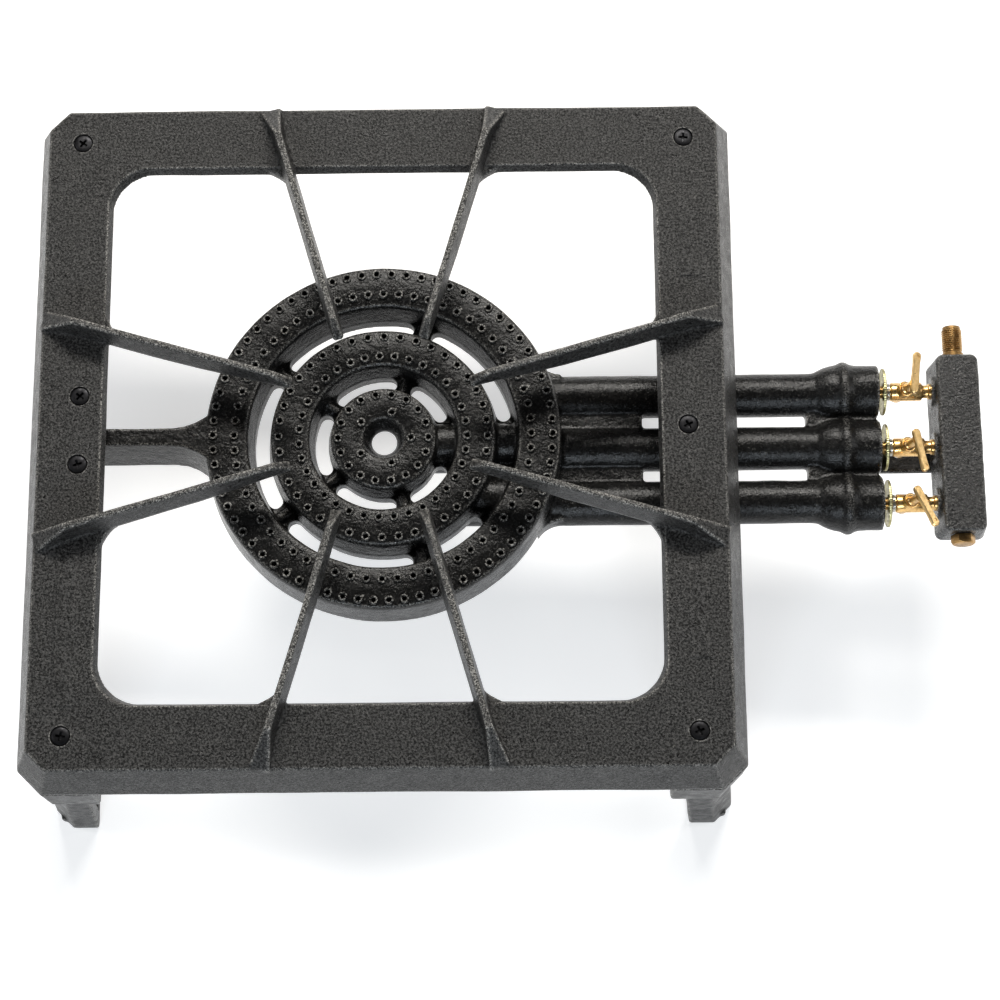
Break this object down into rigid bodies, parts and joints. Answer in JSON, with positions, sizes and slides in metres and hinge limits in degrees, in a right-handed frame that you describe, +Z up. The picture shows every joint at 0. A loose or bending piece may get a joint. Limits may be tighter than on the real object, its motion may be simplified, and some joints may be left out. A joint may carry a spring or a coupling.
{
  "type": "propane burner stand",
  "caption": "Low square cast-iron gas burner stand with pan ribs, a concentric ring burner, mixing tubes, brass lever valves and a gas manifold.",
  "frame": {"origin": "on the surface the stand rests on, under the centre of the whole object's box (the burner's centre is 71.4 mm towards -X)", "axes": "+X from the burner towards the valves and manifold, +Y towards the gas inlet nipple, +Z up"},
  "size_m": [0.5437, 0.401, 0.17],
  "materials": {
    "black_iron": "black baked enamel over sand-cast iron, satin with an orange-peel texture",
    "black_screw": "blackened steel, satin",
    "golden_brass": "turned and cast brass, satin",
    "dull_bronze": "unpolished brass, slightly tarnished",
    "olive_brass": "pressed brass sheet with a greenish tone, satin",
    "bright_steel": "bright plated steel"
  },
  "bodies": {
    "root": {"frame_casting": "black_iron", "leg_rear_right": "black_iron", "leg_rear_left": "black_iron", "leg_front_left": "black_iron", "leg_front_right": "black_iron", "leg_screw_rear_left": "black_screw", "leg_screw_rear_right": "black_screw", "leg_screw_front_left": "black_screw", "leg_screw_front_right": "black_screw", "arm_screw_rear": "black_screw", "arm_screw_front": "black_screw", "lug_screw": "black_screw", "burner_casting": "black_iron", "manifold": "black_iron", "inlet_nipple": "dull_bronze", "manifold_plug": "dull_bronze", "bracket_strap": "black_iron", "strap_screw_burner": "black_screw", "strap_screw_manifold": "black_screw", "valve_body_rear": "golden_brass", "jet_rear": "dull_bronze", "shutter_spring_rear": "bright_steel", "valve_body_middle": "golden_brass", "jet_middle": "dull_bronze", "shutter_spring_middle": "bright_steel", "valve_body_front": "golden_brass", "jet_front": "dull_bronze", "shutter_spring_front": "bright_steel"},
    "handle_rear": {"valve_handle_rear": "golden_brass", "plug_washer_rear": "bright_steel", "plug_nut_rear": "golden_brass"},
    "shutter_rear": {"air_shutter_rear": "olive_brass"},
    "handle_middle": {"valve_handle_middle": "golden_brass", "plug_washer_middle": "bright_steel", "plug_nut_middle": "golden_brass"},
    "shutter_middle": {"air_shutter_middle": "olive_brass"},
    "handle_front": {"valve_handle_front": "golden_brass", "plug_washer_front": "bright_steel", "plug_nut_front": "golden_brass"},
    "shutter_front": {"air_shutter_front": "olive_brass"}
  },
  "joints": [
    {"name": "valve_turn_rear", "type": "hinge", "parent": "root", "child": "handle_rear", "pos_m": [0.2263, 0.0334, 0.104], "axis": [0.342, 0, 0.9397], "range_deg": [0, 98.5]},
    {"name": "valve_turn_middle", "type": "hinge", "parent": "root", "child": "handle_middle", "pos_m": [0.2263, 0, 0.104], "axis": [0.342, 0, 0.9397], "range_deg": [-102, 0]},
    {"name": "valve_turn_front", "type": "hinge", "parent": "root", "child": "handle_front", "pos_m": [0.2263, -0.0334, 0.104], "axis": [0.342, 0, 0.9397], "range_deg": [-118, 0]},
    {"name": "shutter_close_rear", "type": "slide", "parent": "root", "child": "shutter_rear", "axis": [-1, 0, 0], "range_m": [0, 0.0019]},
    {"name": "shutter_close_middle", "type": "slide", "parent": "root", "child": "shutter_middle", "axis": [-1, 0, 0], "range_m": [0, 0.0019]},
    {"name": "shutter_close_front", "type": "slide", "parent": "root", "child": "shutter_front", "axis": [-1, 0, 0], "range_m": [0, 0.0019]}
  ]
}
